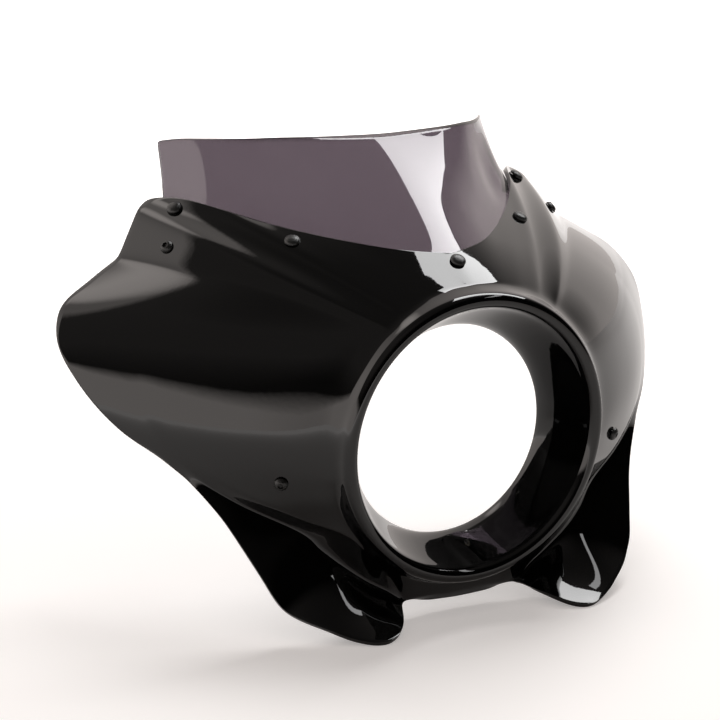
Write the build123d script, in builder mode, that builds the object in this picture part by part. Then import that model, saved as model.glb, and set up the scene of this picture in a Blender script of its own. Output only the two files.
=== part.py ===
"""Half fairing for a motorcycle with a round headlamp.

Drawn in millimetres from the headlamp opening: +X to one side, +Y to the rear, +Z up. The front rim of the
opening lies in the plane Y = 0 with its centre at the origin. The stored files have their origin in the
middle of the lamp bore, behind the rim.
"""
import os
from math import cos, radians, sin

from build123d import *

os.makedirs("parts", exist_ok=True)

# Shell wall and headlamp tunnel
shell_wall = 3.5
rim_radius = 100.0
bore_radius = 82.0
bore_depth = 42.0
bore_drop = 4.4
bore_land = 6.0

# Rolled lip round the opening, and the skirt behind it that the panels grow from
lip_width = 13.0
lip_front = 7.5
lip_shoulder = 2.0
skirt_depth = 10.0
foot_inset = 1.5
foot_depth = 5.0

# Where a plain panel is cut into the flank, step and blade that a fin has
flank_share = 0.88
step_share = 0.5

# Screen
screen_thickness = 3.0
screen_gap = 1.2
screen_overlap = 20.0
screen_contact = 3.0
screen_bulge = 0.35

# Clearances: shank in its hole, head or washer on a curved wall, nut or washer on a thread
hole_gap = 0.4
seat_gap = 0.2
thread_gap = 0.1

# Search for a wall along a line, and the spread of the points that give its slope
search_reach = 30.0
slope_spread = 4.0

# M5 screws, washers and lock nuts of the screen
screen_screw_radius = 2.5
screen_screw_length = 18.0
screen_head_radius = 6.0
screen_head_height = 3.6
screen_head_rim = 0.8
screen_head_turn = (0.66, 0.78)
screen_head_flat = 0.15
screen_washer_radius = 7.0
screen_washer_thickness = 1.6
screen_nut_width = 8.0
screen_nut_height = 5.0
screen_nut_collar = 1.4
screen_nut_chamfer = 0.3

# M6 button screws and retaining washers of the brackets
bracket_screw_radius = 3.0
bracket_screw_length = 22.0
bracket_head_radius = 5.25
bracket_head_height = 3.3
bracket_head_rim = 0.5
bracket_head_turn = (0.86, 0.62)
bracket_head_flat = 0.55
bracket_tip = 0.6
bracket_neck_radius = 2.7
bracket_socket_width = 4.0
bracket_socket_depth = 2.0
bracket_washer_radius = 6.0
bracket_washer_thickness = 1.0


def from_lip(angle, reach):
    """A point at a reach sideways and up from the lip, at an angle from +X towards +Z."""
    radius = rim_radius + lip_width - foot_inset
    return Vector(radius * cos(radians(angle)) + reach[0], reach[1], radius * sin(radians(angle)) + reach[2])


def panel_section(angle, reach, bulge=(0.6, 0.36), lift=0.0):
    """Foot, knee and edge of one curved wall profile."""
    foot = from_lip(angle, (0, foot_depth, 0))
    edge = from_lip(angle, reach)
    span = edge - foot
    knee = foot + Vector(span.X * bulge[0], span.Y * bulge[1], span.Z * bulge[0] + lift)
    return foot, knee, edge




def split_curve(points, share):
    """Control points of the two halves of a curve with one knee."""
    foot, knee, edge = points
    left = foot + (knee - foot) * share
    right = knee + (edge - knee) * share
    middle = left + (right - left) * share
    return (foot, left, middle), (middle, right, edge)


def straight_run(start, end):
    return start, (start + end) / 2, end


def inner_runs(runs, side, depth):
    """Each run moved inwards by a depth, meeting the next one in a mitre."""
    starts = [(run[1] - run[0]).cross(side).normalized() for run in runs]
    ends = [(run[2] - run[1]).cross(side).normalized() for run in runs]
    moved = []
    for number, (foot, knee, edge) in enumerate(runs):
        first = starts[number]
        last = ends[number]
        if number > 0:
            first = (ends[number - 1] + first) / (1 + ends[number - 1].dot(first))
        if number < len(runs) - 1:
            last = (last + starts[number + 1]) / (1 + last.dot(starts[number + 1]))
        corner = (starts[number] + ends[number]) / (1 + starts[number].dot(ends[number]))
        moved.append((foot + first * depth, knee + corner * depth, edge + last * depth))
    return moved


def wall_profile(runs, side, thickness):
    """A closed wall profile from outer curves with one knee each, given from foot to edge."""
    behind = inner_runs(runs, side, thickness)
    outer = [Bezier(*run) for run in runs]
    cut_edge = Line(runs[-1][2], behind[-1][2])
    inner = [Bezier(*reversed(run)) for run in reversed(behind)]
    foot = Line(behind[0][0], runs[0][0])
    return Face(Wire([*outer, cut_edge, *inner, foot]))


def panel_runs(section):
    """A single curve cut into the three runs that the fin sections have, with the side direction."""
    foot, knee, edge = section
    flank, rest = split_curve(section, flank_share)
    step, blade = split_curve(rest, step_share)
    return [flank, step, blade], (edge - foot).cross(knee - foot).normalized()


def mirrored(vector):
    return Vector(-vector.X, vector.Y, vector.Z)


def flipped(profile):
    """The same profile on the other side of the fairing."""
    runs, side = profile
    return [tuple(mirrored(point) for point in run) for run in runs], -mirrored(side)


def skin(profiles, thickness=shell_wall, ruled=False):
    return loft([wall_profile(runs, side, thickness) for runs, side in profiles], ruled=ruled)


def both_sides(half, middle):
    return half + [panel_runs(middle)] + [flipped(profile) for profile in reversed(half)]


def fin_section(angle, reach, fold, root, blade_bulge=3.0):
    """Flank, step back and blade; fold and root are each a share of the span and a depth in Y."""
    foot = from_lip(angle, (0, foot_depth, 0))
    edge = from_lip(angle, reach)
    span = Vector(edge.X - foot.X, 0, edge.Z - foot.Z)
    fold_point = foot + span * fold[0] + Vector(0, fold[1] - foot_depth, 0)
    root_point = foot + span * root[0] + Vector(0, root[1] - foot_depth, 0)
    side = span.cross(Vector(0, -1, 0)).normalized()
    outward = (root_point - edge).cross(side).normalized()
    blade_knee = (root_point + edge) / 2 + outward * blade_bulge
    return [straight_run(foot, fold_point), straight_run(fold_point, root_point),
            (root_point, blade_knee, edge)], side


# Cowl sections from the middle to the top rear corner
middle_section = panel_section(90, (0, 40, 21.5), (0.52, 0.48))
cowl_sections = [
    panel_section(81, (16.7, 55.6, 25), (0.52, 0.47)),
    panel_section(73, (36.8, 88.2, 32.5), (0.55, 0.44)),
    panel_section(66.5, (62.4, 133.4, 43.1), (0.565, 0.42)),
    panel_section(61.3, (78.1, 170.3, 53.7), (0.575, 0.405)),
    panel_section(57.5, (90.6, 206.5, 59.5), (0.585, 0.39), lift=1),
    panel_section(55, (100.5, 224.5, 58.2), (0.595, 0.35), lift=3),
]
shoulder_section = panel_section(52.5, (107.1, 219, 55.5), (0.6, 0.31), lift=4)
junction_section = panel_section(-10, (90.6, 75, -7.6), (0.54, 0.41))
cheek_sections = [
    panel_section(49.5, (125.6, 204, 26.8), (0.55, 0.35), lift=18),
    panel_section(40, (137.5, 200.3, 25.7), (0.64, 0.32), lift=10),
    panel_section(30, (154, 193.1, 23.7), (0.66, 0.34), lift=3),
    panel_section(20, (155.8, 175, 20.9)),
    panel_section(11, (144.5, 149, 10.7)),
    panel_section(2, (123.6, 115.5, -0.9)),
    panel_section(-4, (103.6, 89.3, -5.4), (0.56, 0.38)),
    junction_section,
]
fin_sections = [
    fin_section(-12.5, (86.4, 69.3, -9.8), (0.82, 55), (0.93, 65.5), 0.1),
    fin_section(-15, (82.5, 63.7, -11.9), (0.694, 44.9), (0.848, 58.6), 0.3),
    fin_section(-18.5, (75.5, 53.4, -18.9), (0.55, 35.5), (0.7, 49), 0.8),
    fin_section(-22, (70.9, 43.8, -26.1), (0.423, 29.6), (0.556, 42.1), 1.5),
    fin_section(-26, (68.3, 33.7, -31.9), (0.275, 20.8), (0.441, 36), 2.2),
    fin_section(-31, (67.1, 23.7, -36.7), (0.117, 10), (0.361, 28.4)),
    fin_section(-35, (65.5, 13.9, -43.5), (0.085, 8), (0.33, 25.5)),
    fin_section(-38, (63.7, 9.2, -46.5), (0.073, 7), (0.304, 23)),
    fin_section(-41.5, (59.1, -0.5, -46.2), (0.075, 7.5), (0.31, 21.5)),
    fin_section(-45, (48.2, -13.4, -47.1), (0.08, 8.4), (0.327, 20)),
    fin_section(-52, (41.1, -24.8, -44.7), (0.097, 10.6), (0.357, 19.7)),
    fin_section(-57.5, (26.3, -32.5, -41.5), (0.148, 13.1), (0.455, 18.4)),
    fin_section(-60.5, (18.5, -26.2, -35.2), (0.25, 13.5), (0.54, 17), 2),
    fin_section(-63.5, (15.4, -16.3, -29.5), (0.4, 14), (0.68, 15), 1),
    fin_section(-66, (12.1, -1.5, -25.6), (0.65, 13), (0.84, 12), 0.4),
]
chin_sections = [
    panel_section(-68, (8.7, 12.1, -22.2), (0.55, 0.45)),
    panel_section(-79, (4.7, 14, -19.5), (0.55, 0.45)),
]
chin_middle = panel_section(-90, (0, 15, -19), (0.55, 0.45))

cowl_half = [panel_runs(section) for section in [*cowl_sections, shoulder_section]]
shoulder_fan = [panel_runs(section) for section in (shoulder_section, cheek_sections[0])]
cheek_fan = [panel_runs(section) for section in cheek_sections]
bottom_half = [cheek_fan[-1], *fin_sections, *[panel_runs(section) for section in chin_sections]]

with BuildPart() as fairing_shell:
    # Rolled lip, solid until its hollow is cut
    outer_lip = rim_radius + lip_width
    lip_middle = rim_radius + lip_width / 2
    with BuildSketch(Plane.XY):
        with BuildLine():
            ThreePointArc((rim_radius, 0), (lip_middle, -lip_front), (outer_lip, -lip_shoulder))
            Polyline((outer_lip, -lip_shoulder), (outer_lip, skirt_depth), (rim_radius, skirt_depth),
                     (rim_radius, 0))
        make_face()
    revolve(axis=Axis.Y)
    # Fins and chin, cheeks, cowl, and the shoulder and side wall above each cheek
    skin(both_sides(bottom_half, chin_middle))
    skin(cheek_fan)
    skin([flipped(profile) for profile in cheek_fan])
    skin(both_sides(list(reversed(cowl_half)), middle_section))
    skin(shoulder_fan, ruled=True)
    skin([flipped(profile) for profile in shoulder_fan], ruled=True)
    # Tunnel wall, narrowing to the rear and sloping down a little
    land_front = bore_depth - bore_land
    front_plane = Plane(origin=(0, 0, 0), x_dir=(1, 0, 0), z_dir=(0, 1, 0))
    land_plane = Plane(origin=(0, land_front, -bore_drop), x_dir=(1, 0, 0), z_dir=(0, 1, 0))
    with BuildSketch(front_plane):
        Circle(rim_radius + shell_wall)
    with BuildSketch(land_plane):
        Circle(bore_radius + shell_wall)
    loft()
    with BuildSketch(land_plane):
        Circle(bore_radius + shell_wall)
    extrude(amount=bore_land)
    with BuildSketch(front_plane):
        Circle(rim_radius)
    with BuildSketch(land_plane):
        Circle(bore_radius)
    loft(mode=Mode.SUBTRACT)
    with BuildSketch(land_plane):
        Circle(bore_radius)
    extrude(amount=bore_land, mode=Mode.SUBTRACT)
    # Hollow behind the lip, open to the rear
    with BuildSketch(Plane.XY):
        with BuildLine():
            Line((rim_radius + shell_wall, skirt_depth), (rim_radius + shell_wall, 0))
            ThreePointArc((rim_radius + shell_wall, 0), (lip_middle, shell_wall - lip_front),
                          (outer_lip - shell_wall, -lip_shoulder))
            Line((outer_lip - shell_wall, -lip_shoulder), (outer_lip - shell_wall, skirt_depth))
            Line((outer_lip - shell_wall, skirt_depth), (rim_radius + shell_wall, skirt_depth))
        make_face()
    revolve(axis=Axis.Y, mode=Mode.SUBTRACT)


def wall_points(shape, point, direction):
    """Where a line from a point meets a shape, nearest first."""
    hits = []
    for face in shape.faces():
        for hit, normal in face.find_intersection_points(Axis(point, direction)):
            hits.append((hit - point).dot(direction))
    return [point + direction * length for length in sorted(hits) if length > 0]


def wall_hit(shape, point, outward):
    """Outer and inner surface of the wall on a line through a point near it."""
    return wall_points(shape, point + outward * search_reach, -outward)[:2]


def wall_seat(shape, place, outward):
    """Point and outward direction on the outer surface, from four points round it."""
    across = outward.cross(Vector(0, 0, 1)).normalized() * slope_spread
    along = across.cross(outward)
    left, right, low, high = [wall_hit(shape, place + shift, outward)[0]
                              for shift in (-across, across, -along, along)]
    normal = (right - left).cross(high - low).normalized()
    if normal.dot(outward) < 0:
        normal = -normal
    return wall_hit(shape, place, normal)[0], normal


def wall_reach(shape, point, normal, radius):
    """How far the wall rises and falls along a screw's axis, under a rim of a radius round it."""
    across = normal.cross(Vector(0, 0, 1)).normalized()
    along = across.cross(normal)
    heights = []
    for turn in range(0, 360, 45):
        place = point + (across * cos(radians(turn)) + along * sin(radians(turn))) * radius
        heights += [(hit - point).dot(normal) for hit in wall_hit(shape, place, normal)]
    return max(0, *heights), min(heights)


# Screen stations from the middle to the side: angle and reach of the shell's edge, the way out of the cowl
# there, and how far the screen's top lies from the edge
screen_stations = [
    (90, (0, 40, 21.5), (0, -0.51, 0.86), (0, 110, 70)),
    (81, (16.7, 55.6, 25), (0.1, -0.5, 0.86), (-4.1, 95.9, 68.3)),
    (73, (36.8, 88.2, 32.5), (0.23, -0.46, 0.86), (-7.4, 69.3, 64.3)),
    (69.5, (51.7, 113.4, 37.7), (0.27, -0.42, 0.87), (-7.7, 54.1, 60.5)),
    (66.5, (62.4, 133.4, 43.1), (0.31, -0.38, 0.87), (-7.6, 46.2, 55.5)),
    (61.3, (78.1, 170.3, 53.7), (0.35, -0.3, 0.89), (-10.1, 35.2, 46.1)),
    (58, (89.4, 202.9, 59.1), (0.38, -0.27, 0.89), (-10.5, 28.1, 40.1)),
    (56.5, (94.8, 216.6, 59.8), (0.4, -0.26, 0.88), (-9.7, 28.9, 37.2)),
]


def screen_profile(angle, reach, outward, rise):
    """The screen's front in one plane: the margin behind the cowl, then the free part up to the top."""
    edge = from_lip(angle, reach)
    outward = Vector(*outward).normalized()
    rise = Vector(*rise)
    up = (rise - outward * rise.dot(outward)).normalized()
    side = up.cross(outward).normalized()
    low, middle, high = [wall_hit(fairing_shell.part, edge - up * depth, outward)[1] - outward * screen_gap
                         for depth in (screen_overlap, screen_overlap / 2, screen_contact)]
    high += (high - middle).normalized() * screen_contact
    margin = (low, middle * 2 - (low + high) / 2, high)
    top = edge + rise
    knee = high + (high - margin[1]).normalized() * (top - high).length * screen_bulge
    return [margin, (high, knee, top)], side


with BuildPart() as windscreen:
    screen_half = [screen_profile(*station) for station in screen_stations]
    skin([flipped(profile) for profile in reversed(screen_half[1:])] + screen_half, screen_thickness)

# Seats on the shell's outer surface: angle and reach of a place on it, and the rough way out of the wall
screen_places = [(90, (0, 33.6, 15.4), (0, -0.52, 0.86)), (67, (57.1, 105.4, 35.1), (0.31, -0.38, 0.87)),
                 (57, (95.3, 195.8, 57), (0.4, -0.28, 0.88))]
bracket_places = [(52, (105.7, 170.8, 38.6), (0.69, -0.32, 0.65)),
                  (-14, (39.9, 26.6, 1.8), (0.53, -0.78, -0.34))]


def both_seats(places):
    """Seats on +X and then their mirror images; a seat on the middle plane is there once."""
    seats = [wall_seat(fairing_shell.part, from_lip(angle, reach), Vector(*outward).normalized())
             for angle, reach, outward in places]
    return seats + [(mirrored(point), mirrored(normal)) for point, normal in seats if point.X > 1]


screen_seats = both_seats(screen_places)
bracket_seats = both_seats(bracket_places)


def seat_plane(point, normal, shift=0.0):
    """A plane across a screw, its X level and its Z out of the wall."""
    return Plane(origin=point + normal * shift, x_dir=Vector(0, 0, 1).cross(normal), z_dir=normal)


def lathe_plane(point, normal, shift=0.0):
    """A plane through a screw's axis, its Y out of the wall."""
    across = Vector(0, 0, 1).cross(normal).normalized()
    return Plane(origin=point + normal * shift, x_dir=across, z_dir=across.cross(normal))


# Holes for the screws
drill_depth = 3 * shell_wall
with fairing_shell:
    for seats, radius in ((screen_seats, screen_screw_radius), (bracket_seats, bracket_screw_radius)):
        for point, normal in seats:
            with BuildSketch(seat_plane(point, normal, shell_wall)):
                Circle(radius + hole_gap)
            extrude(amount=-drill_depth, mode=Mode.SUBTRACT)
with windscreen:
    for point, normal in screen_seats:
        with BuildSketch(seat_plane(point, normal)):
            Circle(screen_screw_radius + hole_gap)
        extrude(amount=-shell_wall - drill_depth, mode=Mode.SUBTRACT)


def domed_head(radius, height, rim, turn, flat):
    """Lines of a domed head from its underside to the axis, in a lathe plane."""
    Line((radius, 0), (radius, rim))
    ThreePointArc((radius, rim), (turn[0] * radius, turn[1] * height), (flat * radius, height))
    Line((flat * radius, height), (0, height))


# Domed screws, washers and lock nuts of the screen
screen_screws = []
screen_washers = []
screen_nuts = []
for point, normal in screen_seats:
    head = wall_reach(fairing_shell.part, point, normal, screen_head_radius)[0] + seat_gap
    behind = wall_reach(windscreen.part, point, normal, screen_washer_radius)[1] - seat_gap
    lathe = lathe_plane(point, normal, head)
    with BuildPart() as screw:
        with BuildSketch(lathe):
            with BuildLine():
                Polyline((0, screen_head_height), (0, -screen_screw_length),
                         (screen_screw_radius, -screen_screw_length), (screen_screw_radius, 0),
                         (screen_head_radius, 0))
                domed_head(screen_head_radius, screen_head_height, screen_head_rim, screen_head_turn,
                           screen_head_flat)
            make_face()
        revolve(axis=Axis(lathe.origin, lathe.y_dir))
    screen_screws.append(screw)
    with BuildPart() as washer:
        with BuildSketch(seat_plane(point, normal, behind)):
            Circle(screen_washer_radius)
            Circle(screen_screw_radius + hole_gap, mode=Mode.SUBTRACT)
        extrude(amount=-screen_washer_thickness)
    screen_washers.append(washer)
    nut_plane = seat_plane(point, normal, behind - screen_washer_thickness - seat_gap)
    with BuildPart() as nut:
        with BuildSketch(nut_plane):
            RegularPolygon(screen_nut_width / 2, 6, major_radius=False)
        extrude(amount=screen_nut_collar - screen_nut_height)
        with BuildSketch(nut_plane):
            Circle(screen_nut_width / 2 - screen_nut_chamfer)
        extrude(amount=-screen_nut_height)
        with BuildSketch(nut_plane):
            Circle(screen_screw_radius + thread_gap)
        extrude(amount=-screen_nut_height, mode=Mode.SUBTRACT)
    screen_nuts.append(nut)

# Button screws with a hex socket, held in the shell by thin retaining washers
bracket_screws = []
bracket_washers = []
for point, normal in bracket_seats:
    head = wall_reach(fairing_shell.part, point, normal, bracket_head_radius)[0] + seat_gap
    behind = wall_reach(fairing_shell.part, point, normal, bracket_washer_radius)[1] - seat_gap
    neck_end = behind - bracket_washer_thickness - head
    lathe = lathe_plane(point, normal, head)
    with BuildPart() as screw:
        with BuildSketch(lathe):
            with BuildLine():
                Polyline((0, bracket_head_height), (0, -bracket_screw_length),
                         (bracket_screw_radius - bracket_tip, -bracket_screw_length),
                         (bracket_screw_radius, bracket_tip - bracket_screw_length),
                         (bracket_screw_radius, neck_end), (bracket_neck_radius, neck_end),
                         (bracket_neck_radius, 0), (bracket_head_radius, 0))
                domed_head(bracket_head_radius, bracket_head_height, bracket_head_rim, bracket_head_turn,
                           bracket_head_flat)
            make_face()
        revolve(axis=Axis(lathe.origin, lathe.y_dir))
        with BuildSketch(seat_plane(point, normal, head + bracket_head_height)):
            RegularPolygon(bracket_socket_width / 2, 6, major_radius=False)
        extrude(amount=-bracket_socket_depth, mode=Mode.SUBTRACT)
    bracket_screws.append(screw)
    with BuildPart() as washer:
        with BuildSketch(seat_plane(point, normal, behind)):
            Circle(bracket_washer_radius)
            Circle(bracket_screw_radius + thread_gap, mode=Mode.SUBTRACT)
        extrude(amount=-bracket_washer_thickness)
    bracket_washers.append(washer)

# One file for each piece, with the origin in the middle of the lamp bore's land
pieces = {"fairing_shell": fairing_shell, "windscreen": windscreen}
for name, family in (("screen_screw", screen_screws), ("screen_washer", screen_washers),
                     ("screen_nut", screen_nuts), ("bracket_screw", bracket_screws),
                     ("bracket_washer", bracket_washers)):
    for number, piece in enumerate(family, 1):
        pieces[f"{name}_{number}"] = piece
stored_frame = Location((0, bore_land / 2 - bore_depth, bore_drop))
for name, piece in pieces.items():
    stored = piece.part.moved(stored_frame)
    stored.label = name
    export_step(stored, f"parts/{name}.step")
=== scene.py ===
"""Half fairing for a motorcycle with a round headlamp: gloss-black shell, smoked screen and its screws.

Everything is in metres in the part's frame: the origin is in the middle of the headlamp bore, +Y is the
rear and +Z is up. Sizes are written in millimetres from the centre of the opening's front rim.
"""
from math import atan2, ceil, cos, pi, radians, sin

import bpy
from mathutils import Matrix, Vector


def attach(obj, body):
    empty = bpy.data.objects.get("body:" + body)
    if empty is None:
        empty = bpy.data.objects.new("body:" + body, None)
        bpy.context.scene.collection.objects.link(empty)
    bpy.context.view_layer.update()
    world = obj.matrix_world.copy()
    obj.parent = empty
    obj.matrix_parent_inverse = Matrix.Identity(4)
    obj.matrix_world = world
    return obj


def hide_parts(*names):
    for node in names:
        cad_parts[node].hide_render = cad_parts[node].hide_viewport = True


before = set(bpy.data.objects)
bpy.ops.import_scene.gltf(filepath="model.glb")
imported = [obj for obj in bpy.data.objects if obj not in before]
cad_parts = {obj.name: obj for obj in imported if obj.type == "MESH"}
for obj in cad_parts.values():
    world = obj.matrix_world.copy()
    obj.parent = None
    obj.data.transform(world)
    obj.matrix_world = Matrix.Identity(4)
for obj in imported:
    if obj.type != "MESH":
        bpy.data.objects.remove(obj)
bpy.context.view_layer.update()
bpy.ops.object.select_all(action="DESELECT")


# Shell. One moulding of gloss-black ABS, 3.5 mm thick: a rolled lip round the headlamp tunnel, and panels
# that fan out from the lip. Each section runs from its foot on the lip to the shell's cut edge.
bore_setback = 39.0
bore_drop = 4.4


def place(x, y, z):
    """A point measured in millimetres from the centre of the front rim, in the part's frame."""
    return Vector((x, y - bore_setback, z + bore_drop)) / 1000


shell_wall = 3.5
bore_radius = 82.0
bore_depth = 42.0
bore_land = 6.0
foot_radius = 111.5
foot_depth = 5.0
leave_radius = 115.0
lowest_edge = -134.9
lip_profile = [(bore_radius, bore_depth), (bore_radius, bore_depth - bore_land), (88.1, 24), (94.1, 12),
               (98.4, 3.4), (100.0, -0.6), (101.1, -4.2), (103.3, -6.8), (106.5, -7.6), (109.7, -6.9),
               (112.0, -4.6), (113.0, -1.6), (113.3, 1.2)]


def panel(angle, edge, bulge=(0.6, 0.36), lift=0.0, shares=(0.52, 0.64)):
    """A section with one curve, cut in three at two shares of its length."""
    foot = Vector((foot_radius * cos(radians(angle)), foot_depth, foot_radius * sin(radians(angle))))
    edge = Vector(edge)
    span = edge - foot
    knee = foot + Vector((span.x * bulge[0], span.y * bulge[1], span.z * bulge[0] + lift))

    def cut(a, b, c, t):
        left = a.lerp(b, t)
        right = b.lerp(c, t)
        middle = left.lerp(right, t)
        return (a, left, middle), (middle, right, c)

    first, rest = cut(foot, knee, edge, shares[0])
    second, third = cut(*rest, (shares[1] - shares[0]) / (1 - shares[0]))
    return angle, [first, second, third]


def fin(angle, edge, fold, root, blade_bulge=3.0):
    """A section with a flank, a step back and a forward blade."""
    foot = Vector((foot_radius * cos(radians(angle)), foot_depth, foot_radius * sin(radians(angle))))
    edge = Vector(edge)
    span = Vector((edge.x - foot.x, 0, edge.z - foot.z))
    fold_point = foot + span * fold[0] + Vector((0, fold[1] - foot_depth, 0))
    root_point = foot + span * root[0] + Vector((0, root[1] - foot_depth, 0))
    side = span.cross(Vector((0, -1, 0))).normalized()
    outward = (root_point - edge).cross(side).normalized()
    blade_knee = (root_point + edge) / 2 + outward * blade_bulge
    return angle, [(foot, (foot + fold_point) / 2, fold_point),
                   (fold_point, (fold_point + root_point) / 2, root_point), (root_point, blade_knee, edge)]


cowl = [
    panel(90, (0, 40, 133), (0.52, 0.48)),
    panel(81, (34.1, 55.6, 135.1), (0.52, 0.47)),
    panel(73, (69.4, 88.2, 139.1), (0.55, 0.44)),
    panel(66.5, (106.9, 133.4, 145.4), (0.565, 0.42)),
    panel(61.3, (131.6, 170.3, 151.5), (0.575, 0.405)),
    panel(57.5, (150.5, 206.5, 153.5), (0.585, 0.39), lift=1),
    panel(55, (164.5, 224.5, 149.5), (0.595, 0.35), lift=3),
    panel(52.5, (175, 219, 144), (0.6, 0.31), lift=4),
]
cheek = [
    panel(49.5, (198, 204, 111.6), (0.55, 0.35), lift=18),
    panel(40, (222.9, 200.3, 97.4), (0.64, 0.32), lift=10, shares=(0.54, 0.66)),
    panel(30, (250.6, 193.1, 79.4), (0.66, 0.34), lift=3, shares=(0.58, 0.69)),
    panel(20, (260.6, 175, 59), shares=(0.63, 0.73)),
    panel(11, (254, 149, 32), shares=(0.69, 0.78)),
    panel(2, (235, 115.5, 3), shares=(0.76, 0.84)),
    panel(-4, (214.8, 89.3, -13.2), (0.56, 0.38), shares=(0.82, 0.9)),
    panel(-10, (200.4, 75, -27), (0.54, 0.41), shares=(0.88, 0.94)),
]
underside = [
    cheek[-1],
    fin(-12.5, (195.3, 69.3, -33.9), (0.82, 55), (0.93, 65.5), 0.1),
    fin(-15, (190.2, 63.7, -40.8), (0.694, 44.9), (0.848, 58.6), 0.3),
    fin(-18.5, (181.2, 53.4, -54.3), (0.55, 35.5), (0.7, 49), 0.8),
    fin(-22, (174.3, 43.8, -67.9), (0.423, 29.6), (0.556, 42.1), 1.5),
    fin(-26, (168.5, 33.7, -80.8), (0.275, 20.8), (0.441, 36), 2.2),
    fin(-31, (162.7, 23.7, -94.1), (0.117, 10), (0.361, 28.4)),
    fin(-35, (156.8, 13.9, -107.5), (0.085, 8), (0.33, 25.5)),
    fin(-38, (151.6, 9.2, -115.1), (0.073, 7), (0.304, 23)),
    fin(-41.5, (142.6, -0.5, -120.1), (0.075, 7.5), (0.31, 21.5)),
    fin(-45, (127, -13.4, -125.9), (0.08, 8.4), (0.327, 20)),
    fin(-52, (109.7, -24.8, -132.6), (0.097, 10.6), (0.357, 19.7)),
    fin(-57.5, (86.2, -32.5, -135.5), (0.148, 13.1), (0.455, 18.4)),
    fin(-60.5, (73.4, -26.2, -132.2), (0.25, 13.5), (0.54, 17), 2.0),
    fin(-63.5, (65.2, -16.3, -129.3), (0.4, 14), (0.68, 15), 1.0),
    fin(-66, (57.5, -1.5, -127.5), (0.65, 13), (0.84, 12), 0.4),
    panel(-68, (50.5, 12.1, -125.6), (0.55, 0.45), shares=(0.86, 0.93)),
    panel(-79, (26, 14, -129), (0.55, 0.45), shares=(0.7, 0.8)),
    panel(-90, (0, 15, -130.5), (0.55, 0.45)),
]


def curve_point(run, t):
    a, b, c = run
    return a * (1 - t) ** 2 + b * 2 * t * (1 - t) + c * t ** 2


def section_row(section, samples=(12, 4, 10)):
    """The lip's profile at the section's angle, then the panel from where it leaves the lip."""
    angle, runs = section
    out = Vector((cos(radians(angle)), 0, sin(radians(angle))))
    row = []
    for radius, depth in lip_profile:
        drop = bore_drop * min(1, max(0, depth) / (bore_depth - bore_land))
        row.append(out * radius + Vector((0, depth, -drop)))
    leave = 0.0
    while Vector((curve_point(runs[0], leave).x, 0, curve_point(runs[0], leave).z)).length < leave_radius:
        leave += 0.01
    for number, (run, steps) in enumerate(zip(runs, samples)):
        start = leave if number == 0 else 0
        for step in range(0 if number == 0 else 1, steps + 1):
            row.append(curve_point(run, start + (1 - start) * step / steps))
    return row


def filled_rows(rows, gaps, spacing, least=1, straight=False):
    """Rows on a smooth curve through the given rows; each comes with its gap's number and its share of it."""
    for number, gap in enumerate(gaps):
        steps = max(least, ceil(gap / spacing))
        for step in range(steps):
            t = step / steps
            row = []
            for k, (a, b) in enumerate(zip(rows[number], rows[number + 1])):
                slope = (b - a) / gap
                before = slope
                after = slope
                if number > 0:
                    last = (a - rows[number - 1][k]) / gaps[number - 1]
                    before = (last * gap + slope * gaps[number - 1]) / (gap + gaps[number - 1])
                if number < len(gaps) - 1:
                    following = (rows[number + 2][k] - b) / gaps[number + 1]
                    after = (slope * gaps[number + 1] + following * gap) / (gap + gaps[number + 1])
                if straight:
                    row.append(a.lerp(b, t))
                else:
                    row.append(a * (2 * t ** 3 - 3 * t ** 2 + 1) + before * gap * (t ** 3 - 2 * t ** 2 + t)
                               + b * (3 * t ** 2 - 2 * t ** 3) + after * gap * (t ** 3 - t ** 2))
            yield number, t, row


def between(sections, spacing=6.5, straight=False):
    """Rows through the sections and between them; the lip's part of each is true to the lip."""
    rows = [section_row(section) for section in sections]
    gaps = [(a[-1] - b[-1]).length * 0.6 + (a[20] - b[20]).length * 0.4 for a, b in zip(rows, rows[1:])]
    filled = []
    for number, t, row in filled_rows(rows, gaps, spacing, 2, straight):
        start_angle = sections[number][0]
        end_angle = sections[number + 1][0]
        lip = section_row((start_angle + (end_angle - start_angle) * t, sections[number][1]))
        row[:len(lip_profile)] = lip[:len(lip_profile)]
        filled.append(row)
    return filled + [rows[-1]]


def evened(rows, passes):
    """Evens the panels along the rows; the lip and the cut edge stay, and so do the two end rows."""
    shares = [min(1, max(0, step - len(lip_profile)) / 6, (len(rows[0]) - 1 - step) / 10) / 2
              for step in range(len(rows[0]))]
    for _ in range(passes):
        rows = [rows[0]] + [
            [b + ((a + c) / 2 - b) * share for a, b, c, share in zip(last, row, following, shares)]
            for last, row, following in zip(rows, rows[1:], rows[2:])] + [rows[-1]]
    return rows


cheek_rows = between(cheek)
fin_rows = between(underside)[1:]
lower = evened(cheek_rows + fin_rows[:6], 30) + fin_rows[6:]
right_half = (evened(between(cowl), 3) + between([cowl[-1], cheek[0]], straight=True)[1:-1]
              + evened(lower, 3))
left_half = [[Vector((-p.x, p.y, p.z)) for p in row] for row in reversed(right_half[1:-1])]
rows = right_half + left_half
width = len(rows[0])
mesh = bpy.data.meshes.new("shell_panels")
points = [place(point.x, point.y, max(point.z, lowest_edge)) for row in rows for point in row]
faces = []
for number in range(len(rows)):
    following = (number + 1) % len(rows)
    for step in range(width - 1):
        faces.append((number * width + step, following * width + step,
                      following * width + step + 1, number * width + step + 1))
mesh.from_pydata(points, [], faces)
shell = bpy.data.objects.new("shell_panels", mesh)
bpy.context.collection.objects.link(shell)
bpy.context.view_layer.objects.active = shell
shell.select_set(True)
bpy.ops.object.mode_set(mode="EDIT")
bpy.ops.mesh.select_mode(type="VERT")
bpy.ops.mesh.select_all(action="DESELECT")
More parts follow.
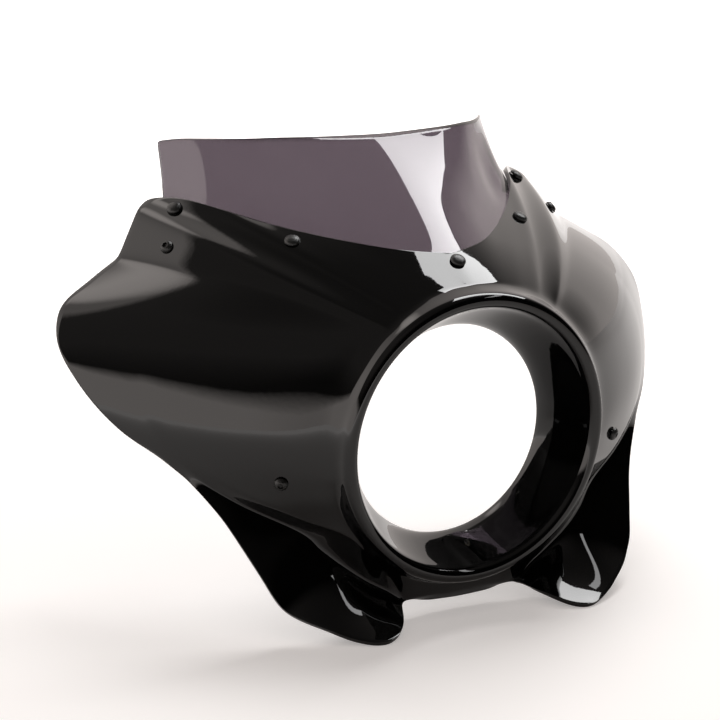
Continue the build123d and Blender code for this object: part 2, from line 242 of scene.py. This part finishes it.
bpy.ops.object.mode_set(mode="OBJECT")
for number, vertex in enumerate(mesh.vertices):
    vertex.select = 0 < number % width < width - 1
bpy.ops.object.mode_set(mode="EDIT")
bpy.ops.mesh.vertices_smooth(factor=0.5, repeat=1)
bpy.ops.object.mode_set(mode="OBJECT")


def apply_modifier(piece, kind, **settings):
    """Adds a modifier to the piece with its settings and applies it."""
    bpy.ops.object.select_all(action="DESELECT")
    piece.select_set(True)
    bpy.context.view_layer.objects.active = piece
    modifier = piece.modifiers.new(kind.lower(), kind)
    for name, value in settings.items():
        setattr(modifier, name, value)
    bpy.ops.object.modifier_apply(modifier=modifier.name)


apply_modifier(shell, "SUBSURF", levels=1, render_levels=1)
apply_modifier(shell, "SOLIDIFY", thickness=shell_wall / 1000, offset=-1, material_offset=1)
apply_modifier(shell, "BEVEL", width=0.0006, segments=2, limit_method="ANGLE", angle_limit=radians(60))
for polygon in shell.data.polygons:
    polygon.use_smooth = True


def tone(code, alpha=1.0):
    """An sRGB hex colour as linear red, green, blue and alpha."""
    parts = [int(code[i:i + 2], 16) / 255 for i in (1, 3, 5)]
    linear = [part / 12.92 if part <= 0.04045 else ((part + 0.055) / 1.055) ** 2.4 for part in parts]
    return (*linear, alpha)


def start_material(name):
    """A new node material, its tree and its Principled shader."""
    material = bpy.data.materials.new(name)
    material.use_nodes = True
    tree = material.node_tree
    return material, tree, tree.nodes["Principled BSDF"]


def add_node(tree, kind, settings=None, inputs=None):
    """Adds a node, sets its properties, and sets or links its inputs."""
    node = tree.nodes.new(kind)
    for name, value in (settings or {}).items():
        setattr(node, name, value)
    for name, value in (inputs or {}).items():
        if isinstance(value, bpy.types.NodeSocket):
            tree.links.new(value, node.inputs[name])
        else:
            node.inputs[name].default_value = value
    return node


# Gloss-black moulded ABS: black all through, a hard polished surface with a faint orange peel
black_abs, tree, shader = start_material("gloss_black_abs")
shader.inputs["Base Color"].default_value = tone("#050505")
shader.inputs["Roughness"].default_value = 0.03
shader.inputs["IOR"].default_value = 1.5
place_of = add_node(tree, "ShaderNodeTexCoord")
peel = add_node(tree, "ShaderNodeTexNoise", inputs={"Vector": place_of.outputs["Object"], "Scale": 220.0})
bump = add_node(tree, "ShaderNodeBump", inputs={"Height": peel.outputs["Fac"], "Strength": 0.02,
                                               "Distance": 0.0005})
tree.links.new(bump.outputs["Normal"], shader.inputs["Normal"])
shell.data.materials.append(black_abs)

# The back of the same moulding, left with the satin grain of the forming
satin_abs, tree, shader = start_material("satin_black_abs")
shader.inputs["Base Color"].default_value = tone("#0f0f0f")
shader.inputs["Roughness"].default_value = 0.42
shader.inputs["IOR"].default_value = 1.5
place_of = add_node(tree, "ShaderNodeTexCoord")
grain = add_node(tree, "ShaderNodeTexNoise", inputs={"Vector": place_of.outputs["Object"], "Scale": 1400.0})
bump = add_node(tree, "ShaderNodeBump", inputs={"Height": grain.outputs["Fac"], "Strength": 0.2,
                                               "Distance": 0.0003})
tree.links.new(bump.outputs["Normal"], shader.inputs["Normal"])
shell.data.materials.append(satin_abs)
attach(shell, "root")
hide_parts("fairing_shell")


# Screen. A sheet of smoked acrylic, 3 mm thick, heat-formed to the cowl. Its lower margin is screwed on
# behind the shell's top edge.
screen_wall = 3.0
screen_sections = [
    [(0, 25.2, 118.8), (0, 33.7, 124), (0, 42.4, 129), (0, 82.1, 151.7), (0, 150, 203)],
    [(34.6, 40.4, 121.6), (34.1, 49.2, 126.3), (33.7, 57.9, 131.1), (31.7, 94.2, 151), (30, 151.5, 203.4)],
    [(71.4, 72.5, 126.5), (69.9, 81.2, 131.2), (68.4, 90.1, 135.5), (63.4, 120, 150), (62, 157.5, 203.4)],
    [(94.1, 97.2, 130.7), (92, 106, 134.9), (89.8, 114.9, 139), (83.5, 140.6, 150.9), (83, 167.5, 202.6)],
    [(110.8, 117.6, 133.3), (108.6, 125.8, 138.6), (105.7, 134.9, 141.9), (98.2, 158.3, 150.4),
     (99.3, 179.6, 200.8)],
    [(136.2, 156.2, 135.8), (132.8, 164.3, 140.7), (130.3, 171.4, 148), (125.3, 185.8, 162.8),
     (121.5, 205.5, 197.6)],
    [(154.7, 189.1, 138.9), (150, 197.1, 142.6), (146.5, 204.3, 149), (140.2, 217.2, 160.6),
     (138, 231, 193.8)],
    [(162.7, 202, 139.6), (158, 210.3, 142.9), (154.3, 218, 148.2), (147.7, 231.4, 157.6),
     (146.6, 245.5, 190)],
]
screen_rows = []
for low, middle, high, knee, top in screen_sections:
    low, middle, high, knee, top = [Vector(point) for point in (low, middle, high, knee, top)]
    row = [curve_point((low, middle, high), step / 4) for step in range(4)]
    row += [curve_point((high, knee, top), step / 16) for step in range(17)]
    screen_rows.append(row)
gaps = [(a[-1] - b[-1]).length for a, b in zip(screen_rows, screen_rows[1:])]
mirror_rows = [[Vector((-p.x, p.y, p.z)) for p in row] for row in screen_rows]
all_rows = list(reversed(mirror_rows[1:])) + screen_rows
all_gaps = list(reversed(gaps)) + gaps
fine_rows = [row for _, _, row in filled_rows(all_rows, all_gaps, 6)]
fine_rows.append(all_rows[-1])
width = len(fine_rows[0])
mesh = bpy.data.meshes.new("smoked_screen")
faces = [(n * width + s, (n + 1) * width + s, (n + 1) * width + s + 1, n * width + s + 1)
         for n in range(len(fine_rows) - 1) for s in range(width - 1)]
mesh.from_pydata([place(*point) for row in fine_rows for point in row], [], faces)
screen = bpy.data.objects.new("smoked_screen", mesh)
bpy.context.collection.objects.link(screen)
bpy.context.view_layer.objects.active = screen
apply_modifier(screen, "SUBSURF", levels=1, render_levels=1)
apply_modifier(screen, "SOLIDIFY", thickness=screen_wall / 1000, offset=-1)
for polygon in screen.data.polygons:
    polygon.use_smooth = True
smoked, tree, shader = start_material("smoked_acrylic")
shader.inputs["Base Color"].default_value = tone("#4b434a")
shader.inputs["Transmission Weight"].default_value = 1.0
shader.inputs["Roughness"].default_value = 0.0
shader.inputs["IOR"].default_value = 1.49
screen.data.materials.append(smoked)
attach(screen, "root")
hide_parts("windscreen")


# Screen screws. Five domed black screws hold the screen behind the shell's top edge, each with a nylon
# washer and a zinc-plated lock nut behind the screen. Each kind is modelled once and copied to its seats.
def select_end(piece, direction):
    """In edit mode, selects only the piece's topmost face, or its lowest for a direction of -1."""
    bpy.ops.object.mode_set(mode="EDIT")
    bpy.ops.mesh.select_mode(type="FACE")
    bpy.ops.mesh.select_all(action="DESELECT")
    bpy.ops.object.mode_set(mode="OBJECT")
    end = max(piece.data.polygons, key=lambda face: (face.center.z * direction, face.area))
    end.select = True
    bpy.ops.object.mode_set(mode="EDIT")


def grow(piece, direction, radius, steps):
    """Extrudes an end face of the piece; each step is a new radius and a rise in millimetres."""
    select_end(piece, direction)
    for new_radius, rise_step in steps:
        bpy.ops.mesh.extrude_region_move(
            TRANSFORM_OT_translate={"value": (0, 0, direction * rise_step / 1000)})
        share = new_radius / radius
        bpy.ops.transform.resize(value=(share, share, 1), center_override=(0, 0, 0))
        radius = new_radius
    bpy.ops.object.mode_set(mode="OBJECT")


def cylinder(name, radius, low, high, vertices=40):
    """A cylinder along Z between two heights, in millimetres."""
    bpy.ops.object.select_all(action="DESELECT")
    bpy.ops.mesh.primitive_cylinder_add(vertices=vertices, radius=radius / 1000, depth=(high - low) / 1000,
                                        location=(0, 0, (high + low) / 2000))
    piece = bpy.context.object
    piece.name = name
    bpy.ops.object.transform_apply(location=True, rotation=False, scale=False)
    return piece


def cut_thread(piece, top, bottom, radius, pitch):
    """Presses a helical groove into the rings of a shank between two heights, in millimetres."""
    for vertex in piece.data.vertices:
        x, y, z = vertex.co * 1000
        distance = (x * x + y * y) ** 0.5
        if bottom < z < top and abs(distance - radius) < 0.05:
            turn = (z / pitch + atan2(y, x) / (2 * pi)) % 1
            groove = 0.6 * pitch * abs(turn - 0.5) * 2
            vertex.co.x *= (radius - groove) / radius
            vertex.co.y *= (radius - groove) / radius


def finish(piece, material, angle=35):
    """Smooths the piece up to an angle and gives it its material."""
    bpy.ops.object.select_all(action="DESELECT")
    piece.select_set(True)
    bpy.context.view_layer.objects.active = piece
    bpy.ops.object.shade_smooth_by_angle(angle=radians(angle))
    piece.data.materials.clear()
    piece.data.materials.append(material)


def seat_copies(model, family, anchor):
    """Copies a model to each CAD node of a family, with its anchor height at the node's outer end."""
    for number, (point, normal) in enumerate(seats[family.split("_")[0]], 1):
        seat = place(*point)
        normal = Vector(normal).normalized()
        node = f"{family}_{number}"
        reach = max((vertex.co - seat).dot(normal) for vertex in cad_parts[node].data.vertices)
        turn = normal.to_track_quat("Z", "Y").to_matrix().to_4x4()
        copy = model.copy()
        copy.data = model.data.copy()
        copy.name = f"{node}_piece"
        bpy.context.collection.objects.link(copy)
        copy.data.transform(Matrix.Translation(seat + normal * (reach - anchor / 1000)) @ turn)
        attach(copy, "root")
        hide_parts(node)
    bpy.data.objects.remove(model)


def both_sides(places):
    """The places on +X, then their mirror images; one in the middle is there once."""
    return places + [((-point[0], *point[1:]), (-normal[0], *normal[1:])) for point, normal in places
                     if point[0] > 0]


seats = {
    "screen": both_sides([((0, 32.544, 128.702), (0, -0.5057, 0.8627)),
                          ((100.427, 105.75, 136.859), (0.2458, -0.3593, 0.9003)),
                          ((153.784, 197.154, 146.718), (0.4865, -0.2936, 0.8229))]),
    "bracket": both_sides([((172.169, 171.852, 124.423), (0.6882, -0.3326, 0.6448)),
                           ((145.994, 29.733, -24.037), (0.5319, -0.796, -0.289))]),
}

# Black oxide on steel: near black, satin, with a fine uneven film
black_steel, tree, shader = start_material("black_oxide_steel")
shader.inputs["Base Color"].default_value = tone("#151514")
shader.inputs["IOR"].default_value = 1.5
place_of = add_node(tree, "ShaderNodeTexCoord")
film = add_node(tree, "ShaderNodeTexNoise", inputs={"Vector": place_of.outputs["Object"], "Scale": 900.0})
satin = add_node(tree, "ShaderNodeMapRange", inputs={"Value": film.outputs["Fac"], "To Min": 0.32,
                                                     "To Max": 0.46})
tree.links.new(satin.outputs["Result"], shader.inputs["Roughness"])

screw = cylinder("screen_screw", 6.0, 0, 0.8)
grow(screw, 1, 6.0, [(5.85, 0.55), (5.5, 0.6), (4.9, 0.55), (4.1, 0.45), (3.1, 0.32), (2.0, 0.2), (0.9, 0.1),
                     (0.2, 0.03)])
grow(screw, -1, 6.0, [(2.7, 0.0), (2.5, 0.2)] + [(2.5, 0.13)] * 133 + [(2.1, 0.5)])
cut_thread(screw, -1.5, -17.4, 2.5, 0.8)
apply_modifier(screw, "BEVEL", width=0.00015, segments=2, limit_method="ANGLE", angle_limit=radians(60))
finish(screw, black_steel)
seat_copies(screw, "screen_screw", 3.6)

# Natural nylon: milky, a little light goes into it
nylon, tree, shader = start_material("natural_nylon")
shader.inputs["Base Color"].default_value = tone("#d8d4c8")
shader.inputs["Roughness"].default_value = 0.4
shader.inputs["Subsurface Weight"].default_value = 0.3
shader.inputs["Subsurface Radius"].default_value = (0.001, 0.001, 0.0008)
washer_ring = 4.1
washer = cylinder("screen_washer", 7.0, -1.6, 0)
for direction in (1, -1):
    select_end(washer, direction)
    bpy.ops.mesh.inset(thickness=washer_ring / 1000)
    bpy.ops.object.mode_set(mode="OBJECT")
bpy.ops.object.mode_set(mode="EDIT")
bpy.ops.mesh.select_all(action="DESELECT")
bpy.ops.object.mode_set(mode="OBJECT")
for face in washer.data.polygons:
    if abs(face.normal.z) > 0.9 and face.center.xy.length < 0.0005:
        face.select = True
bpy.ops.object.mode_set(mode="EDIT")
bpy.ops.mesh.bridge_edge_loops()
bpy.ops.object.mode_set(mode="OBJECT")
apply_modifier(washer, "BEVEL", width=0.00025, segments=2, limit_method="ANGLE", angle_limit=radians(60))
finish(washer, nylon)
seat_copies(washer, "screen_washer", 0)

# Bright zinc plate on steel: a pale, faintly brushed metal
zinc, tree, shader = start_material("zinc_plated_steel")
shader.inputs["Base Color"].default_value = tone("#c9cacb")
shader.inputs["Metallic"].default_value = 1.0
place_of = add_node(tree, "ShaderNodeTexCoord")
film = add_node(tree, "ShaderNodeTexNoise", inputs={"Vector": place_of.outputs["Object"], "Scale": 1200.0})
satin = add_node(tree, "ShaderNodeMapRange", inputs={"Value": film.outputs["Fac"], "To Min": 0.22,
                                                     "To Max": 0.38})
tree.links.new(satin.outputs["Result"], shader.inputs["Roughness"])
nut = cylinder("screen_nut", 4.6, -3.6, 0, vertices=6)
apply_modifier(nut, "BEVEL", width=0.0003, segments=2, limit_method="ANGLE", angle_limit=radians(40))
collar = cylinder("nut_collar", 3.7, -4.6, -3.4)
grow(collar, -1, 3.7, [(3.55, 0.25), (3.2, 0.15)])
bpy.ops.object.select_all(action="DESELECT")
collar.select_set(True)
nut.select_set(True)
bpy.context.view_layer.objects.active = nut
bpy.ops.object.join()
finish(nut, zinc)
seat_copies(nut, "screen_nut", 0)


# Bracket screws. Four M6 button screws with a hex socket; thin retaining washers keep them in the shell.
screw = cylinder("bracket_screw", 5.25, 0, 0.5)
grow(screw, 1, 5.25, [(5.1, 0.6), (4.75, 0.65), (4.2, 0.6), (3.6, 0.55), (2.9, 0.4)])
grow(screw, -1, 5.25, [(2.7, 0.0), (2.7, 3.4), (3.0, 0.1)] + [(3.0, 0.16)] * 111 + [(2.4, 0.6)])
cut_thread(screw, -3.8, -21.2, 3.0, 1.0)
socket = cylinder("hex_socket", 4.0 / 3 ** 0.5, 1.3, 4.0, vertices=6)
cut = screw.modifiers.new("socket", "BOOLEAN")
cut.operation = "DIFFERENCE"
cut.object = socket
bpy.ops.object.select_all(action="DESELECT")
screw.select_set(True)
bpy.context.view_layer.objects.active = screw
bpy.ops.object.modifier_apply(modifier="socket")
bpy.data.objects.remove(socket)
apply_modifier(screw, "BEVEL", width=0.00012, segments=2, limit_method="ANGLE", angle_limit=radians(50))
finish(screw, black_steel)
seat_copies(screw, "bracket_screw", 3.3)

# Spring steel with a blue-black temper
spring, tree, shader = start_material("spring_steel")
shader.inputs["Base Color"].default_value = tone("#4b4d52")
shader.inputs["Metallic"].default_value = 1.0
shader.inputs["Roughness"].default_value = 0.35
washer = cylinder("bracket_washer", 6.0, -1.0, 0)
apply_modifier(washer, "BEVEL", width=0.0002, segments=2, limit_method="ANGLE", angle_limit=radians(60))
finish(washer, spring)
seat_copies(washer, "bracket_washer", 0)


# Studio. A white floor that keeps the fairing's shadow and that, to reflections only, glows with a painted
# glow, a white wall behind and low on the left, a dark hall above, and soft boxes whose reflections draw the
# shell's shape. One fill lamp gives the plain light.
floor_level = place(0, 0, -138).z
bpy.ops.object.select_all(action="DESELECT")
bpy.ops.mesh.primitive_plane_add(size=24, location=(0, 0, floor_level))
floor = bpy.context.object
floor.name = "studio_floor"
paper, tree, shader = start_material("white_paper_floor")
shader.inputs["Base Color"].default_value = tone("#f4f1ef")
shader.inputs["Roughness"].default_value = 0.9
shader.inputs["Specular IOR Level"].default_value = 0.0
path = add_node(tree, "ShaderNodeLightPath")
direct = add_node(tree, "ShaderNodeMath", {"operation": "MAXIMUM"},
                  {0: path.outputs["Is Camera Ray"], 1: path.outputs["Is Transmission Ray"]})
place_of = add_node(tree, "ShaderNodeTexCoord")
distance = add_node(tree, "ShaderNodeVectorMath", {"operation": "LENGTH"}, {0: place_of.outputs["Object"]})
far = add_node(tree, "ShaderNodeMapRange", inputs={"Value": distance.outputs["Value"], "From Min": 0.4,
                                                   "From Max": 2.0})
# Painted reflection: for glossy rays the floor glows, not at all within 0.35 m of the fairing and brighter
# out to 4 m, a painted shade near it, and dimmer to the right except behind.
way = add_node(tree, "ShaderNodeVectorMath", {"operation": "NORMALIZE"}, {0: place_of.outputs["Object"]})
parts = add_node(tree, "ShaderNodeSeparateXYZ", {}, {0: way.outputs[0]})
rear = add_node(tree, "ShaderNodeMapRange", {}, {"Value": parts.outputs["Y"], "From Min": -0.05,
                                                 "From Max": 0.7, "To Max": 0.75})
side = add_node(tree, "ShaderNodeMapRange", {}, {"Value": parts.outputs["X"], "From Min": 0.2,
                                                 "From Max": 0.6})
faded = add_node(tree, "ShaderNodeMix", {}, {0: side.outputs[0], 2: 1.0, 3: rear.outputs[0]})
depth = add_node(tree, "ShaderNodeMapRange", inputs={"Value": distance.outputs["Value"], "From Min": 0.35,
                                                     "From Max": 4.0, "To Max": 1.65})
painted_glow_strength = add_node(tree, "ShaderNodeMath", {"operation": "MULTIPLY"},
                 {0: depth.outputs[0], 1: faded.outputs[0]})
lift = add_node(tree, "ShaderNodeMath", {"operation": "MULTIPLY_ADD"}, {0: far.outputs[0], 1: 0.7, 2: 0.3})
seen = add_node(tree, "ShaderNodeMath", {"operation": "MULTIPLY"}, {0: direct.outputs[0], 1: lift.outputs[0]})
painted_reflection_glow = add_node(tree, "ShaderNodeMath", {"operation": "MULTIPLY"},
                 {0: path.outputs["Is Glossy Ray"], 1: painted_glow_strength.outputs[0]})
glow = add_node(tree, "ShaderNodeMath", {"operation": "MAXIMUM"}, {0: seen.outputs[0], 1: painted_reflection_glow.outputs[0]})
shader.inputs["Emission Color"].default_value = tone("#fffbf9")
tree.links.new(glow.outputs[0], shader.inputs["Emission Strength"])
floor.data.materials.append(paper)

world = bpy.data.worlds.new("studio")
bpy.context.scene.world = world
world.use_nodes = True
tree = world.node_tree
path = add_node(tree, "ShaderNodeLightPath")
seen = add_node(tree, "ShaderNodeMath", {"operation": "MAXIMUM"},
                {0: path.outputs["Is Camera Ray"], 1: path.outputs["Is Transmission Ray"]})
way = add_node(tree, "ShaderNodeTexCoord")
parts = add_node(tree, "ShaderNodeSeparateXYZ", {}, {0: way.outputs["Generated"]})
# The white wall behind; its upper edge is sharp at the rear and soft on the right
wall = add_node(tree, "ShaderNodeVectorMath", {"operation": "DOT_PRODUCT"},
                {0: way.outputs["Generated"], 1: (-0.193, 1.84, -1.0)})
edge = add_node(tree, "ShaderNodeMapRange", {}, {"Value": parts.outputs["X"], "From Min": 0.2,
                                                 "From Max": 0.7, "To Min": 0.04, "To Max": 0.3})
edge_low = add_node(tree, "ShaderNodeMath", {"operation": "MULTIPLY"}, {0: edge.outputs[0], 1: -1.0})
behind = add_node(tree, "ShaderNodeMapRange", {}, {"Value": wall.outputs["Value"],
                                                   "From Min": edge_low.outputs[0],
                                                   "From Max": edge.outputs[0]})
# The low white wall on the left
beside = add_node(tree, "ShaderNodeVectorMath", {"operation": "DOT_PRODUCT"},
                  {0: way.outputs["Generated"], 1: (-0.34, 0.134, -1.0)})
beside = add_node(tree, "ShaderNodeMapRange", {}, {"Value": beside.outputs["Value"], "From Min": -0.04,
                                                   "From Max": 0.05})
white = add_node(tree, "ShaderNodeMath", {"operation": "MAXIMUM"},
                 {0: behind.outputs[0], 1: beside.outputs[0]})
level = add_node(tree, "ShaderNodeMapRange", {}, {"Value": parts.outputs["X"], "From Min": -0.8,
                                                  "From Max": -0.4, "To Min": 2.0, "To Max": 1.05})
# A brighter patch on the rear wall
patch = add_node(tree, "ShaderNodeVectorMath", {"operation": "DOT_PRODUCT"},
                 {0: way.outputs["Generated"], 1: (-0.2, 0.58, 0.79)})
patch = add_node(tree, "ShaderNodeMapRange", {"interpolation_type": "SMOOTHSTEP"},
                 {"Value": patch.outputs["Value"], "From Min": 0.984, "From Max": 1.0, "To Max": 1.9})
level = add_node(tree, "ShaderNodeMath", {"operation": "ADD"}, {0: level.outputs[0], 1: patch.outputs[0]})
# The dark hall: dimmer low down, overhead and in front
hall = add_node(tree, "ShaderNodeMapRange", {}, {"Value": parts.outputs["Z"], "From Min": 0.25,
                                                 "From Max": 0.6, "To Min": 0.05, "To Max": 0.19})
zenith = add_node(tree, "ShaderNodeMapRange", {}, {"Value": parts.outputs["Z"], "From Min": 0.86,
                                                   "From Max": 0.97, "To Min": 1.0, "To Max": 0.5})
hall = add_node(tree, "ShaderNodeMath", {"operation": "MULTIPLY"}, {0: hall.outputs[0], 1: zenith.outputs[0]})
front = add_node(tree, "ShaderNodeVectorMath", {"operation": "DOT_PRODUCT"},
                 {0: way.outputs["Generated"], 1: (-0.6, 1.0, 0)})
front = add_node(tree, "ShaderNodeMapRange", {}, {"Value": front.outputs["Value"], "From Min": -0.8,
                                                  "From Max": -0.2})
hall = add_node(tree, "ShaderNodeMath", {"operation": "MULTIPLY"}, {0: hall.outputs[0], 1: front.outputs[0]})
mirror = add_node(tree, "ShaderNodeMix", {}, {0: white.outputs[0], 2: hall.outputs[0], 3: level.outputs[0]})
shade = add_node(tree, "ShaderNodeMix", {}, {0: path.outputs["Is Glossy Ray"], 2: 0.35, 3: mirror.outputs[0]})
final = add_node(tree, "ShaderNodeMix", {}, {0: seen.outputs[0], 2: shade.outputs[0], 3: 1.0})
tint = add_node(tree, "ShaderNodeMix", {"data_type": "RGBA"}, {0: seen.outputs[0]})
tint.inputs[6].default_value = tone("#fff6f1")
tint.inputs[7].default_value = (1, 1, 1, 1)
tree.links.new(tint.outputs[2], tree.nodes["Background"].inputs["Color"])
tree.links.new(final.outputs[0], tree.nodes["Background"].inputs["Strength"])


def soft_box(name, centre, along, down, size, power):
    """A rectangular soft box at a centre; it shines down a direction, its longer side along another."""
    bpy.ops.object.light_add(type="AREA", location=centre)
    lamp = bpy.context.object
    lamp.name = name
    lamp.data.shape = "RECTANGLE"
    lamp.data.size, lamp.data.size_y = size
    lamp.data.energy = power
    away = -Vector(down).normalized()
    along = (Vector(along) - away * Vector(along).dot(away)).normalized()
    across = away.cross(along)
    lamp.matrix_world = Matrix.Translation(centre) @ Matrix((along, across, away)).transposed().to_4x4()
    lamp.visible_camera = False


# The ceiling and fin boxes are seen in reflections only, the fill lamp never
soft_box("ceiling_box", (1.32, 0.366, 1.65), (0.964, -0.265, 0), (0, 0, -1), (1.85, 0.75), 43)
bpy.data.objects["ceiling_box"].visible_diffuse = False
soft_box("fin_box", (1.3, -0.75, 1.65), (0, 1, 0), (0, 0, -1), (1.25, 0.2), 3.5)
bpy.data.objects["fin_box"].visible_diffuse = False
soft_box("top_fill", (0.9, 1.1, 2.2), (1, 0, 0), (-0.9, -1.1, -2.2), (1.5, 1.5), 52)
bpy.data.objects["top_fill"].visible_glossy = False


# Camera. The photograph is taken with a long lens from the fairing's right and a little above it. Its
# turn, rise and distance are worked out from the round opening and from the mirror pairs of screws.
view_turn = radians(-29.51)
view_rise = radians(16.14)
view_roll = radians(1.53)
view_distance = 1.91745
view_target = place(-99.42, 0, 72.68)
focal_pixels = 2666
back = Vector((sin(view_turn) * cos(view_rise), -cos(view_turn) * cos(view_rise), sin(view_rise)))
across = Vector((cos(view_turn), sin(view_turn), 0))
rise = back.cross(across)
right = across * cos(view_roll) + rise * sin(view_roll)
up = rise * cos(view_roll) - across * sin(view_roll)
bpy.ops.object.camera_add()
camera = bpy.context.object
camera.data.sensor_width = 36
camera.data.lens = focal_pixels / 720 * 36
camera.data.clip_end = 50
turn = Matrix((right, up, back)).transposed().to_4x4()
camera.matrix_world = Matrix.Translation(view_target + back * view_distance) @ turn
bpy.context.scene.camera = camera
bpy.context.scene.view_settings.view_transform = "Standard"
